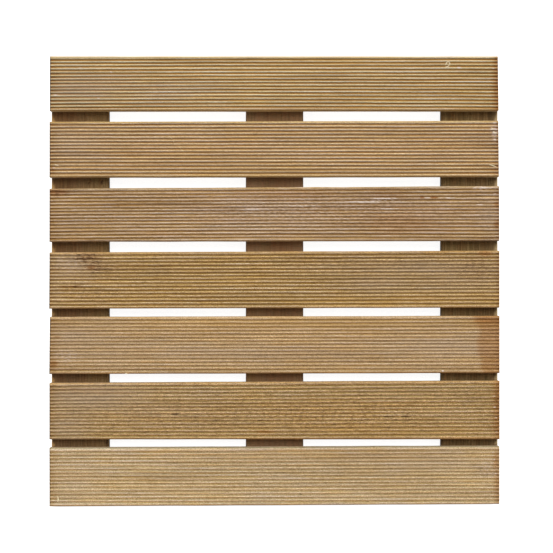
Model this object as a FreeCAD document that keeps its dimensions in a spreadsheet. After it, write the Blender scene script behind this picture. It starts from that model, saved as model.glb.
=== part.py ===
# Wooden deck tile, 500 mm square: seven reeded slats on three battens, stapled together from beneath.
#
# The tile lies flat as it is used. X runs along the slats, Y across them along the battens, and Z is up.
# The origin is the middle of the underside. Slat 1 is the one furthest along +Y. Lengths are in millimetres.
# The battens are the lower layer and the slats lie across them, face to face.

import FreeCAD, Part
import math
import os

import Sketcher
from FreeCAD import Vector

# Driving dimensions. Each is one cell of the sheet, and every feature is bound to these cells.
SIZES = {
    # slats
    "slat_length": (500.0, "length of a slat, which is the tile's length"),
    "slat_width": (62.0, "width of a slat across its reeds"),
    "slat_thickness": (15.0, "thickness of a slat from underside to crest"),
    "slat_count": (7, "number of slats"),
    "slat_gap": (11.0, "open gap between two slats"),
    "slat_arris": (2.0, "radius on a slat's four long edges"),
    "end_bevel": (1.0, "bevel on the top edge of a slat's two ends"),
    # reeds
    "reed_pitch": (3.9, "distance from one groove to the next"),
    "reed_margin": (3.6, "least distance from an outer groove's middle to the slat's edge"),
    "reed_crest": (0.9, "flat width left on top of a reed"),
    "reed_floor": (1.0, "width of a groove's floor"),
    "reed_depth": (1.6, "depth of a groove"),
    "reed_bulge": (0.15, "how far a reed's rounded side stands out from a straight slope"),
    # battens
    "batten_width": (64.0, "width of a batten"),
    "batten_thickness": (15.0, "thickness of a batten"),
    "batten_arris": (2.5, "radius on a batten's four long edges"),
    # staples
    "staple_crown": (11.0, "outside width of a staple across its crown"),
    "wire_thickness": (1.4, "thickness of the staple's wire, seen from the side"),
    "wire_width": (1.6, "width of the staple's wire"),
    "staple_sink": (0.5, "depth of a staple's crown below the batten's underside"),
    "staple_cover": (4.5, "wood left between a staple's tips and the top of the slat"),
    "staple_point": (2.0, "length of the slanted cut on a staple's tip"),
    "staple_aside": (13.0, "distance from the batten's middle line to a staple's middle"),
    "staple_apart": (18.0, "distance from the slat's middle line to a staple's middle"),
    "slot_clearance": (0.1, "play between a staple and the wood around it"),
}

# Expressions that several pieces share
SLAT_PITCH = "(Sizes.slat_width + Sizes.slat_gap)"
TILE_WIDTH = "(Sizes.slat_count * Sizes.slat_width + (Sizes.slat_count - 1) * Sizes.slat_gap)"
FIRST_SLAT = "((Sizes.slat_count - 1) / 2 * " + SLAT_PITCH + ")"
BATTEN_SPACING = "((Sizes.slat_length - Sizes.batten_width) / 2)"
REED_COUNT = "(floor((Sizes.slat_width - 2 * Sizes.reed_margin) / Sizes.reed_pitch + 0.000001) + 1)"
REED_MOUTH = "(Sizes.reed_pitch - Sizes.reed_crest)"
REED_SLOPE = "((" + REED_MOUTH + " - Sizes.reed_floor) / 2)"
REED_RADIUS = ("(((" + REED_SLOPE + " ^ 2 + Sizes.reed_depth ^ 2) / 4 + Sizes.reed_bulge ^ 2)"
               " / (2 * Sizes.reed_bulge))")
LEG_SPACING = "(Sizes.staple_crown - Sizes.wire_thickness)"
LEG_TOP = "(Sizes.batten_thickness + Sizes.slat_thickness - Sizes.staple_cover)"
SEAT_LENGTH = "(Sizes.staple_crown + 2 * Sizes.slot_clearance)"
SEAT_WIDTH = "(Sizes.wire_width + 2 * Sizes.slot_clearance)"
SEAT_DEPTH = "(Sizes.staple_sink + Sizes.wire_thickness + Sizes.slot_clearance)"
LEG_SLOT = "(Sizes.wire_thickness + 2 * Sizes.slot_clearance)"
LEG_SLOT_DEPTH = "(" + LEG_TOP + " + Sizes.slot_clearance - Sizes.batten_thickness)"

# The three battens by name, with each one's place in steps of the batten spacing
BATTENS = {"batten_left": -1, "batten_middle": 0, "batten_right": 1}

# The two staples at each crossing of a slat and a batten stand corner to corner across its middle
STAPLES = {"near": -1, "far": 1}

# A sketch knows its own two axes, its origin and the two ends of a line by these numbers
X_LINE, Y_LINE = range(-1, -3, -1)
ORIGIN = X_LINE
START, END = range(1, 3)

doc = FreeCAD.newDocument("DeckTile")


def size(name):
    return SIZES[name][0]


def make_sheet():
    """The sheet of driving dimensions: name, value and meaning in each row."""
    sheet = doc.addObject("Spreadsheet::Sheet", "Sizes")
    for row, (name, (value, meaning)) in enumerate(SIZES.items(), start=1):
        sheet.set("A%d" % row, name)
        sheet.set("B%d" % row, str(value))
        sheet.setAlias("B%d" % row, name)
        sheet.set("C%d" % row, meaning)
    doc.recompute()


def origin_feature(body, role):
    return next(feature for feature in body.Origin.OriginFeatures if feature.Role == role)


def add_body(name, x="0", y="0", z="0"):
    body = doc.addObject("PartDesign::Body", name)
    body.Label = name
    for axis, place in (("x", x), ("y", y), ("z", z)):
        body.setExpression("Placement.Base." + axis, place)
    return body


def add_sketch(body, name, plane, right="0", up="0", out="0"):
    """A sketch on one of the body's own origin planes, moved from it by three expressions."""
    sketch = body.newObject("Sketcher::SketchObject", body.Name + "_" + name)
    sketch.AttachmentSupport = (origin_feature(body, plane), [""])
    sketch.MapMode = "FlatFace"
    for axis, place in (("x", right), ("y", up), ("z", out)):
        sketch.setExpression("AttachmentOffset.Base." + axis, place)
    return sketch


def add_feature(body, kind, name, bindings, **settings):
    """A feature of the body: plain settings first, then the sizes bound to expressions."""
    feature = body.newObject("PartDesign::" + kind, body.Name + "_" + name)
    for key, value in settings.items():
        setattr(feature, key, value)
    for key, expression in bindings.items():
        feature.setExpression(key, expression)
    body.Tip = feature
    doc.recompute()
    return feature


def constrain(sketch, kind, *where):
    return sketch.addConstraint(Sketcher.Constraint(kind, *where))


def dimension(sketch, name, expression, kind, *where):
    """A named dimension of a sketch, bound to an expression."""
    sketch.renameConstraint(constrain(sketch, kind, *where), name)
    sketch.setExpression("Constraints." + name, expression)


def join_ends(sketch, ends):
    """Each pair of line or arc ends in the list becomes one point."""
    for first, first_end, second, second_end in ends:
        constrain(sketch, "Coincident", first, first_end, second, second_end)


def draw_lines(sketch, corners, closed=True):
    """Straight lines through the corners, each joined to the next."""
    last = len(corners) if closed else len(corners) - 1
    lines = []
    for number in range(last):
        start = Vector(*corners[number], 0)
        end = Vector(*corners[(number + 1) % len(corners)], 0)
        lines.append(sketch.addGeometry(Part.LineSegment(start, end), False))
    join_ends(sketch, [(lines[n - 1], END, lines[n], START) for n in range(0 if closed else 1, last)])
    return lines


def draw_board_section(sketch, width, thickness):
    """A board's section: a rectangle that stands on the sketch's first axis, centred on the second."""
    half = size(width) / 2
    top = size(thickness)
    bottom, right, upper, left = draw_lines(sketch, [(-half, 0), (half, 0), (half, top), (-half, top)])
    constrain(sketch, "Symmetric", bottom, START, bottom, END, Y_LINE)
    constrain(sketch, "PointOnObject", bottom, START, X_LINE)
    constrain(sketch, "Vertical", right)
    constrain(sketch, "Vertical", left)
    constrain(sketch, "Horizontal", upper)
    dimension(sketch, "width", "Sizes." + width, "DistanceX", bottom, START, bottom, END, 2 * half)
    dimension(sketch, "thickness", "Sizes." + thickness, "DistanceY", right, START, right, END, top)


def whole_length_edges(shape, direction):
    """Names of the straight edges that run the board's whole length in one direction."""
    box = shape.BoundBox
    reach = abs(direction.dot(Vector(box.XLength, box.YLength, box.ZLength)))
    names = []
    for number, edge in enumerate(shape.Edges, start=1):
        run = edge.Vertexes[-1].Point - edge.Vertexes[0].Point
        if abs(abs(run.dot(direction)) - reach) < 0.001 and abs(run.Length - reach) < 0.001:
            names.append("Edge%d" % number)
    return names


def draw_end_bevels(sketch):
    """The triangles that bevel the top edge of both ends, seen from the slat's side."""
    end = size("slat_length") / 2
    top = size("slat_thickness")
    cut = size("end_bevel")
    for side, name in ((1, "right"), (-1, "left")):
        corners = [(side * (end - cut), top), (side * (end + cut), top), (side * end, top - cut)]
        across, _, slope = draw_lines(sketch, corners)
        constrain(sketch, "Horizontal", across)
        dimension(sketch, name + "_top", "Sizes.slat_thickness",
                  "DistanceY", ORIGIN, START, across, START, top)
        dimension(sketch, name + "_start", "%d * (Sizes.slat_length / 2 - Sizes.end_bevel)" % side,
                  "DistanceX", ORIGIN, START, across, START, side * (end - cut))
        dimension(sketch, name + "_end", "%d * (Sizes.slat_length / 2 + Sizes.end_bevel)" % side,
                  "DistanceX", ORIGIN, START, across, END, side * (end + cut))
        dimension(sketch, name + "_low", "Sizes.slat_thickness - Sizes.end_bevel",
                  "DistanceY", ORIGIN, START, slope, START, top - cut)
        dimension(sketch, name + "_face", "%d * Sizes.slat_length / 2" % side,
                  "DistanceX", ORIGIN, START, slope, START, side * end)


def draw_groove(sketch):
    """A groove's section. Its mouth is centred on the sketch's origin, and it reaches as far above as below.

    The two sides are arcs that bulge into the groove, so the wood left between grooves is a rounded reed.
    """
    depth = size("reed_depth")
    floor = size("reed_floor") / 2
    mouth = (size("reed_pitch") - size("reed_crest")) / 2
    slope = mouth - floor
    bulge = size("reed_bulge")
    chord = math.hypot(slope, depth)
    radius = (chord ** 2 / 4 + bulge ** 2) / (2 * bulge)
    middle_x = -(mouth + floor) / 2 - depth / chord * (radius - bulge)
    middle_y = -depth / 2 - slope / chord * (radius - bulge)
    low_angle = math.atan2(-depth - middle_y, -floor - middle_x)
    high_angle = math.atan2(-middle_y, -mouth - middle_x)
    left_circle = Part.Circle(Vector(middle_x, middle_y, 0), Vector(0, 0, 1), radius)
    right_circle = Part.Circle(Vector(-middle_x, middle_y, 0), Vector(0, 0, 1), radius)
    left = sketch.addGeometry(Part.ArcOfCircle(left_circle, low_angle, high_angle), False)
    right_arc = Part.ArcOfCircle(right_circle, math.pi - high_angle, math.pi - low_angle)
    right = sketch.addGeometry(right_arc, False)
    base, = draw_lines(sketch, [(-floor, -depth), (floor, -depth)], closed=False)
    above = [(mouth, 0), (mouth, depth), (-mouth, depth), (-mouth, 0)]
    rise, across, fall = draw_lines(sketch, above, closed=False)
    join_ends(sketch, [(left, START, base, START), (base, END, right, END),
                       (right, START, rise, START), (fall, END, left, END)])
    constrain(sketch, "PointOnObject", left, END, X_LINE)
    constrain(sketch, "Symmetric", left, END, right, START, Y_LINE)
    constrain(sketch, "Symmetric", base, START, base, END, Y_LINE)
    constrain(sketch, "Equal", left, right)
    constrain(sketch, "Vertical", rise)
    constrain(sketch, "Vertical", fall)
    constrain(sketch, "Horizontal", across)
    dimension(sketch, "mouth", REED_MOUTH, "DistanceX", fall, END, rise, START, 2 * mouth)
    dimension(sketch, "floor", "Sizes.reed_floor", "DistanceX", base, START, base, END, 2 * floor)
    dimension(sketch, "depth", "Sizes.reed_depth", "DistanceY", base, START, ORIGIN, START, depth)
    dimension(sketch, "above", "Sizes.reed_depth", "DistanceY", rise, START, rise, END, depth)
    dimension(sketch, "side", REED_RADIUS, "Radius", left, radius)


def draw_slot(sketch, name, across, along, width, length):
    """A rectangle for a staple. across and along place its middle, and width is along the first axis.

    It is drawn as a small square round the origin, and its dimensions then size and place it.
    """
    base, right, top, left = draw_lines(sketch, [(-1, -1), (1, -1), (1, 1), (-1, 1)])
    constrain(sketch, "Horizontal", base)
    constrain(sketch, "Horizontal", top)
    constrain(sketch, "Vertical", right)
    constrain(sketch, "Vertical", left)
    dimension(sketch, name + "_width", width, "DistanceX", base, START, base, END, 2)
    dimension(sketch, name + "_length", length, "DistanceY", right, START, right, END, 2)
    dimension(sketch, name + "_across", "%s - %s / 2" % (across, width),
              "DistanceX", ORIGIN, START, base, START, -1)
    dimension(sketch, name + "_along", "%s - %s / 2" % (along, length),
              "DistanceY", ORIGIN, START, base, START, -1)


def draw_leg_slots(sketch):
    """The four slots for the legs of a crossing's two staples, round the sketch's origin."""
    for staple, corner in STAPLES.items():
        for leg, side in (("left", -1), ("right", 1)):
            across = "(%d * Sizes.staple_aside + %d * %s / 2)" % (corner, side, LEG_SPACING)
            along = "(%d * Sizes.staple_apart)" % corner
            draw_slot(sketch, staple + "_" + leg, across, along, LEG_SLOT, SEAT_WIDTH)


def make_slat(number):
    """One slat, lying on the battens: a reeded top, rounded edges and slots for the staples' legs."""
    place = "(%s - %d * %s)" % (FIRST_SLAT, number - 1, SLAT_PITCH)
    body = add_body("slat_%d" % number, y=place, z="Sizes.batten_thickness")

    section = add_sketch(body, "section", "YZ_Plane")
    draw_board_section(section, "slat_width", "slat_thickness")
    board = add_feature(body, "Pad", "board", {"Length": "Sizes.slat_length"},
                        Profile=section, SideType="Symmetric")
    edges = whole_length_edges(board.Shape, Vector(1, 0, 0))
    add_feature(body, "Fillet", "arrises", {"Radius": "Sizes.slat_arris"}, Base=(board, edges))

    bevels = add_sketch(body, "bevels", "XZ_Plane")
    draw_end_bevels(bevels)
    add_feature(body, "Pocket", "ends", {}, Profile=bevels, Type="ThroughAll", SideType="Symmetric")

    first_groove = "(-(%s - 1) / 2 * Sizes.reed_pitch)" % REED_COUNT
    groove = add_sketch(body, "groove", "YZ_Plane", right=first_groove, up="Sizes.slat_thickness")
    draw_groove(groove)
    cut = add_feature(body, "Pocket", "first_groove", {},
                      Profile=groove, Type="ThroughAll", SideType="Symmetric")
    add_feature(body, "LinearPattern", "reeding", {"Offset": "Sizes.reed_pitch", "Occurrences": REED_COUNT},
                Originals=[cut], Direction=(origin_feature(body, "Y_Axis"), [""]), Mode="Spacing")

    slots = add_sketch(body, "slots", "XY_Plane", right="-" + BATTEN_SPACING)
    draw_leg_slots(slots)
    cut = add_feature(body, "Pocket", "leg_slots", {"Length": LEG_SLOT_DEPTH}, Profile=slots, Reversed=True)
    add_feature(body, "LinearPattern", "leg_slots_at_battens", {"Length": "2 * " + BATTEN_SPACING},
                Originals=[cut], Direction=(origin_feature(body, "X_Axis"), [""]), Mode="Extent",
                Occurrences=len(BATTENS))
    return body


def make_batten(name, step):
    """One batten, on the ground under all the slats, slotted from beneath for two staples at each slat."""
    body = add_body(name, x="%d * %s" % (step, BATTEN_SPACING))

    section = add_sketch(body, "section", "XZ_Plane")
    draw_board_section(section, "batten_width", "batten_thickness")
    board = add_feature(body, "Pad", "board", {"Length": TILE_WIDTH},
                        Profile=section, SideType="Symmetric")
    edges = whole_length_edges(board.Shape, Vector(0, 1, 0))
    add_feature(body, "Fillet", "arrises", {"Radius": "Sizes.batten_arris"}, Base=(board, edges))

    seats = add_sketch(body, "seats", "XY_Plane", up=FIRST_SLAT)
    for staple, corner in STAPLES.items():
        across = "(%d * Sizes.staple_aside)" % corner
        along = "(%d * Sizes.staple_apart)" % corner
        draw_slot(seats, staple, across, along, SEAT_LENGTH, SEAT_WIDTH)
    seat_cut = add_feature(body, "Pocket", "crown_seats", {"Length": SEAT_DEPTH},
                           Profile=seats, Reversed=True)
    slots = add_sketch(body, "slots", "XY_Plane", up=FIRST_SLAT)
    draw_leg_slots(slots)
    slot_cut = add_feature(body, "Pocket", "leg_slots", {}, Profile=slots, Type="ThroughAll", Reversed=True)
    rows = {"Length": "2 * " + FIRST_SLAT, "Occurrences": "Sizes.slat_count"}
    add_feature(body, "LinearPattern", "slots_at_slats", rows, Originals=[seat_cut, slot_cut],
                Direction=(origin_feature(body, "Y_Axis"), [""]), Mode="Extent", Reversed=True)
    return body


def draw_staple(sketch):
    """A staple from the side, centred on the second axis: crown below, legs up, tips cut on a slant."""
    half = size("staple_crown") / 2
    wire = size("wire_thickness")
    low = size("staple_sink")
    tip = size("batten_thickness") + size("slat_thickness") - size("staple_cover")
    cut = tip - size("staple_point")
    right_side = [(half, low), (half, cut), (half - wire, tip), (half - wire, low + wire)]
    left_side = [(-x, y) for x, y in reversed(right_side)]
    lines = draw_lines(sketch, right_side + left_side)
    right, right_tip, right_inner, inner, left_inner, left_tip, left, crown = lines
    for line in (right, right_inner, left_inner, left):
        constrain(sketch, "Vertical", line)
    constrain(sketch, "Symmetric", crown, START, crown, END, Y_LINE)
    constrain(sketch, "Symmetric", inner, START, inner, END, Y_LINE)
    dimension(sketch, "crown", "Sizes.staple_crown", "DistanceX", crown, START, crown, END, 2 * half)
    dimension(sketch, "wire", "Sizes.wire_thickness", "DistanceX", right_inner, START, right, END, wire)
    dimension(sketch, "crown_wire", "Sizes.wire_thickness", "DistanceY", crown, END, inner, START, wire)
    dimension(sketch, "sink", "Sizes.staple_sink", "DistanceY", ORIGIN, START, crown, END, low)
    for name, line, shoulder, point in (("right", right_tip, START, END), ("left", left_tip, END, START)):
        dimension(sketch, name + "_tip", LEG_TOP, "DistanceY", ORIGIN, START, line, point, tip)
        dimension(sketch, name + "_point", "Sizes.staple_point",
                  "DistanceY", line, shoulder, line, point, tip - cut)


def make_staples():
    """All the staples as one group of separate solids, repeated from the first slat on the left batten."""
    body = add_body("staples", x="-" + BATTEN_SPACING, y=FIRST_SLAT)
    staples = []
    for name, corner in STAPLES.items():
        profile = add_sketch(body, name + "_profile", "XZ_Plane", right="%d * Sizes.staple_aside" % corner,
                             out="%d * Sizes.staple_apart" % -corner)
        draw_staple(profile)
        staples.append(add_feature(body, "Pad", name + "_staple", {"Length": "Sizes.wire_width"},
                                   Profile=profile, SideType="Symmetric"))
    grid = {"Length": "2 * " + BATTEN_SPACING, "Length2": "2 * " + FIRST_SLAT,
            "Occurrences2": "Sizes.slat_count"}
    add_feature(body, "LinearPattern", "staples_at_crossings", grid, Originals=staples,
                Direction=(origin_feature(body, "X_Axis"), [""]), Mode="Extent", Occurrences=len(BATTENS),
                Direction2=(origin_feature(body, "Y_Axis"), [""]), Mode2="Extent", Reversed2=True)
    return body


def check(parts):
    """Stops the build if any object failed or any piece is empty or unsound."""
    doc.recompute()
    for item in doc.Objects:
        if "Invalid" in item.State or "Error" in item.State:
            raise RuntimeError("%s failed: %s" % (item.Name, item.State))
    for part in parts:
        if part.Shape.isNull() or not part.Shape.isValid() or not part.Shape.Solids:
            raise RuntimeError("%s has no sound solid" % part.Label)


def main():
    make_sheet()
    parts = [make_slat(number) for number in range(1, int(size("slat_count")) + 1)]
    parts += [make_batten(name, step) for name, step in BATTENS.items()]
    parts.append(make_staples())
    check(parts)
    os.makedirs("parts", exist_ok=True)
    for part in parts:
        part.Shape.exportStep("parts/%s.step" % part.Label)
        print("%-14s %2d solids  %10.1f mm3" % (part.Label, len(part.Shape.Solids), part.Shape.Volume))


main()
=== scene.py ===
# A wooden deck tile dressed over its fixed frame: seven reeded slats on three battens, stapled from beneath.
#
# The tile lies on a white floor and is seen from straight above, as in the photograph. X runs along the
# slats, Y along the battens towards slat 1, and Z is up. Lengths are in millimetres and become metres in
# the meshes.

import math

import bmesh
import bpy
import numpy as np
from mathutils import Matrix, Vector


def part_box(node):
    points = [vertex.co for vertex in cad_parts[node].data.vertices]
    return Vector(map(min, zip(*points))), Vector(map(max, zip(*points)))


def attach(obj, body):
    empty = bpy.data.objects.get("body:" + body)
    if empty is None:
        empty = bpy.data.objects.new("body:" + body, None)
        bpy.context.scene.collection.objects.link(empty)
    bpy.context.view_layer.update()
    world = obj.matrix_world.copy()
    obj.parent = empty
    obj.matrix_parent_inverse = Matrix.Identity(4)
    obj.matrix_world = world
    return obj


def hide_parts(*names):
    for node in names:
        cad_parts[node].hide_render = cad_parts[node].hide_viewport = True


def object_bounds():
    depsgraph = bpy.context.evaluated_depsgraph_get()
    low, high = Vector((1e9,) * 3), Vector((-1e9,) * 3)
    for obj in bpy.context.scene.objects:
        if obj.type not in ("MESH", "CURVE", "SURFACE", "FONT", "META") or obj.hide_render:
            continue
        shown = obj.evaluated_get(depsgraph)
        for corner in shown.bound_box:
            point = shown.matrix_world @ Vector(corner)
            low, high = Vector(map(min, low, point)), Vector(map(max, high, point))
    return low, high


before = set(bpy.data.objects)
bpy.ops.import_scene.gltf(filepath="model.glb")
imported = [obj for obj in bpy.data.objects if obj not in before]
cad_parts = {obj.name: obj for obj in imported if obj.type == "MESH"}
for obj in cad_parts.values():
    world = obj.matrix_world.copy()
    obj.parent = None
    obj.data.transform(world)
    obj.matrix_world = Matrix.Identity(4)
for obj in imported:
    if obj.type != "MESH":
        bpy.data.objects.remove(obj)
cad_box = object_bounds()

MM = 0.001

# Where the camera stood: above this point of the tile, looking straight down
CAMERA_X = 2.4
CAMERA_Y = 5.4
CAMERA_HEIGHT = 1830.0
VIEW_WIDTH = 613.5
SENSOR = 36.0
NEAREST_SEEN = 50.0
FARTHEST_SEEN = 50000.0

# The boards' sections, as in the solids
REED_COUNT = 15
REED_PITCH = 3.9
GROOVE_MOUTH = 3.0
GROOVE_FLOOR = 1.0
GROOVE_DEPTH = 1.6
SLAT_ARRIS = 2.0
END_BEVEL = 1.0
BATTEN_ARRIS = 2.5

# How far apart the points lie along the slats and along the battens
SLAT_STEP = 1.7
BATTEN_STEP = 2.5

# How much lower a reed's edges lie than its middle, and how far its top leans from the lamp
REED_CROWN = 0.13
CREST_LEAN = -0.25

# How far the cutter set each groove from an even spacing, from the far edge to the near one
CUTTER_ERRORS = (0.04, 0.03, 0.0, -0.13, -0.2, -0.2, -0.12, 0.09, -0.03, 0.13, 0.18, 0.1, -0.03, -0.18, -0.2)

# Random bends, how far they go and how long they are: of all the grooves together, of a slat's edges, of the
# grooves' depth as a share, and of one groove, where the slat says how far
LONG_SWAY = (0.12, 70)
SHORT_SWAY = (0.05, 24)
EDGE_SWAY = (0.12, 40)
DEPTH_SWAY = (0.08, 30)
GROOVE_BEND = 21
GROOVE_TURN = (0.8, 6)
GROOVE_RAG = 3.6

# Wear of a slat's ends, as a share, and of its reeds' tops: how far it goes, how long and how wide it is. The
# tops lie less deep than this.
END_WEAR = (0.35, 500, 2.2)
CREST_WEAR = (0.07, 14, 3.9)
CREST_WEAR_DEPTH = 0.3

# What darkens a slat's ends: how far it reaches in and how strong it is, at the left end and at the right
# end, and how much of it shows on the reeds' tops. end browns the ends, and more so in the grooves, where it
# is painted shade.
SLAT_ENDS = {
    "end": (1.7, 0.8, 2.6, 1.0, 0.45),
    "dusk": (8.0, 1.0, 6.0, 0.45, 0.3),
    "end_line": (0.85, 1.0, 1.0, 0.0, 0.75),
}

# Staples, as in the solids
STAPLE_CROWN = 11.0
WIRE_THICKNESS = 1.4
WIRE_WIDTH = 1.6
STAPLE_SINK = 0.5
STAPLE_TIP = 25.5
STAPLE_POINT = 2.0
STAPLE_ASIDE = 13.0
STAPLE_APART = 18.0
SLOT_CLEARANCE = 0.1

# The wire: the radius of its bends, how far its edges are taken off, and how far its legs end below the slant
WIRE_BEND = 1.1
WIRE_EDGE = 0.25
TIP_GAP = 0.1

# Edges that turn by more than this many degrees stay sharp
SLAT_SHARP = 55
BATTEN_SHARP = 40
WIRE_SHARP = 40
FIBRE_SHARP = 60

# Loose fibres: how thick they are, and how many points they have along them and around
FIBRE_THICKNESS = 0.4
FIBRE_STEPS = 8
FIBRE_SIDES = 8

# The slats as photographed, from slat 1 to slat 7. far and near are the places of their long edges at the
# left and the right end, left_end and right_end those of their ends at the far and the near edge. far_margin
# and near_margin are the distances from the edges to the middles of the outer grooves, at the left end, at
# the right end, and how much more between. wave and ragged are how far a groove strays in long and in short
# bends. crest and hollow are the colours of the reeds' tops and the grooves' floors. lit and shade tint the
# sides towards the lamp and away from it. far_rim_shade darkens the far edge with painted shade, over
# far_reach of the way to the first groove. The rest are shares: streaks along the reeds, fine fibres, dark
# flecks, growth rings, and frost, the bleached dashes.
SLAT_LOOKS = {
    "far": ((250, 250), (177.1, 178.4), (103, 105.9), (32.2, 34.1), (-39.5, -38.5), (-113.1, -110.5),
        (-185, -183.4)),
    "near": ((189.3, 189.6), (115.5, 116.2), (44, 45), (-30.4, -29.2), (-102.9, -101.8), (-175.5, -175.5),
        (-250, -247.3)),
    "left_end": ((-249.2, -249.3), (-249.5, -249.6), (-249.6, -249.7), (-249.6, -250), (-249.2, -249.9),
        (-249.7, -249.7), (-249.7, -249.6)),
    "right_end": ((248.2, 249), (248.7, 249.4), (249.6, 249.8), (249.9, 249.9), (250, 250), (250, 250),
        (249.9, 249.9)),
    "far_margin": ((4.5, 3.6, -0.2), (3.55, 4.05, 0), (3.7, 3.8, 0.2), (3.8, 4, 0.2), (4.2, 4, 0.15),
        (4.1, 3.9, 0), (5, 4.4, 0.3)),
    "near_margin": ((3.4, 3.4, 1), (4.2, 4.2, -0.1), (3.2, 3.4, 0.8), (4.2, 4.5, -0.1), (4.3, 4.6, 0.1),
        (4, 5.5, -0.2), (4.5, 4, -0.2)),
    "wave": (0.03, 0.04, 0.09, 0.12, 0.06, 0.07, 0.06),
    "ragged": (0.02, 0.03, 0.05, 0.06, 0.04, 0.17, 0.05),
    "crest": ((216, 196, 153), (222, 199, 153), (204, 184, 155), (215, 189, 143), (205, 179, 137),
        (206, 178, 130), (219, 198, 162)),
    "hollow": ((186, 152, 91), (190, 154, 102), (193, 156, 105), (200, 159, 105), (214, 176, 115),
        (221, 180, 116), (246, 218, 164)),
    "lit": ((0.67, 0.45, 0.1), (0.69, 0.55, 0.33), (0.64, 0.56, 0.25), (0.45, 0.45, 0.15), (0.6, 0.65, 0.65),
        (0.46, 0.52, 0.38), (0.51, 0.55, 0.51)),
    "shade": ((1.07, 1.24, 1.44), (0.76, 0.73, 0.88), (1.04, 0.92, 0.82), (0.72, 0.6, 0.45),
        (0.98, 0.85, 0.85), (0.99, 0.87, 0.88), (0.87, 0.7, 0.52)),
    "far_rim_shade": ((0.8, 0.76, 0.6), (0.76, 0.68, 0.47), (0.76, 0.68, 0.47), (0.76, 0.68, 0.47),
        (0.87, 0.8, 0.66), (0.9, 0.8, 0.53), (0.42, 0.5, 0.42)),
    "far_reach": (0.7, 1.6, 1.6, 1.6, 0.4, 0.7, 0.4),
    "streaks": (0.8, 0.7, 0.9, 0.65, 0.6, 0.45, 0.55),
    "fine": (0.35, 0.45, 0.45, 0.65, 0.6, 0.75, 0.6),
    "flecks": (0.1, 0.1, 0.3, 0.3, 0.1, 0.6, 0.05),
    "rings": (0.2, 0.15, 0.4, 0.3, 0.15, 0.3, 0.2),
    "frost": (0.15, 0.2, 0.55, 0.25, 0.15, 0.2, 0.05),
}

# How light and dark streaks tint the slats' wood
STREAKS = ((1.31, 1.36, 1.57), (0.42, 0.32, 0.23))

# Painted shade on a slat's near edge: its tint, and over what share of the way to the last groove
NEAR_RIM_SHADE = (0.73, 0.54, 0.33)
NEAR_REACH = 1.0

# Marks in the wood, sorted by kind: the place of the middle, half the length, half the width, and the
# strength. silver and gold are broad tints, stain is red-brown soaking, and soaked is red-brown up to a
# plain border. dark is a bark-brown fleck, but on the outer battens' inner edges between slats 6 and 7 it
# is painted shade. pale is torn or raised fibre. speckle and glint are areas strewn with fine dark or
# whitish dashes. tone makes an area lighter, or darker where it is below 0.
MARKS = {}
MARKS["slat_1"] = {
    "silver": [(-215, 215, 60, 14, 0.9), (-120, 212, 60, 12, 0.5)],
    "gold": [(60, 244, 130, 8, 0.6), (220, 215, 34, 30, 0.3)],
    "stain": [(243, 236, 4, 2.5, 0.7), (248, 220, 6, 60, 1.1), (-210, 218, 80, 12, 0.35)],
    "pale": [(243, 236, 2, 1, 0.9), (205, 237, 3, 1, 1), (-181, 232, 2, 1, 0.9), (-215, 237, 2, 1, 0.8),
        (-243, 207, 3, 1, 1), (-195, 203, 2, 1, 0.8), (232, 243.5, 6, 0.8, 0.8)],
    "tone": [(-230, 215, 40, 20, -0.5), (234, 215, 25, 30, -0.4), (60, 222, 110, 30, 0.25)],
}
MARKS["slat_2"] = {
    "silver": [(-225, 150, 40, 18, 0.5), (245, 167, 6, 12, 0.8)],
    "gold": [(0, 122, 220, 8, 0.5)],
    "stain": [(-245.8, 124, 3, 3, 1), (244, 168, 8, 9, 0.6), (245, 124, 6, 7, 0.6)],
    "dark": [(243, 167.4, 3, 0.6, 0.8), (243.6, 163.9, 2.2, 0.5, 0.7)],
    "pale": [(-241.5, 129, 2.6, 1, 1.2), (-245, 126, 1.8, 1, 0.9), (241.4, 169.4, 1.8, 1, 1.7),
        (244.9, 169.6, 1.6, 1, 1.7), (244.4, 165.2, 2, 1.1, 2), (246, 162.7, 1.2, 1, 1.6),
        (244.5, 157.7, 1.4, 1, 1.8), (244.6, 175.6, 1.8, 0.9, 1.4), (242.8, 127.8, 3.2, 0.8, 1.5),
        (244.4, 127.2, 2.2, 0.8, 1), (246.1, 124.3, 1.4, 0.8, 0.8), (245.6, 119.8, 1.8, 0.9, 0.9)],
    "glint": [(245.5, 166, 4, 10, 0.9)],
    "tone": [(-110, 147, 60, 12, 0.35), (80, 165, 120, 10, -0.25), (80, 124, 130, 10, -0.35),
        (200, 147, 40, 12, 0.25), (238, 124, 22, 10, -0.35)],
}
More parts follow.
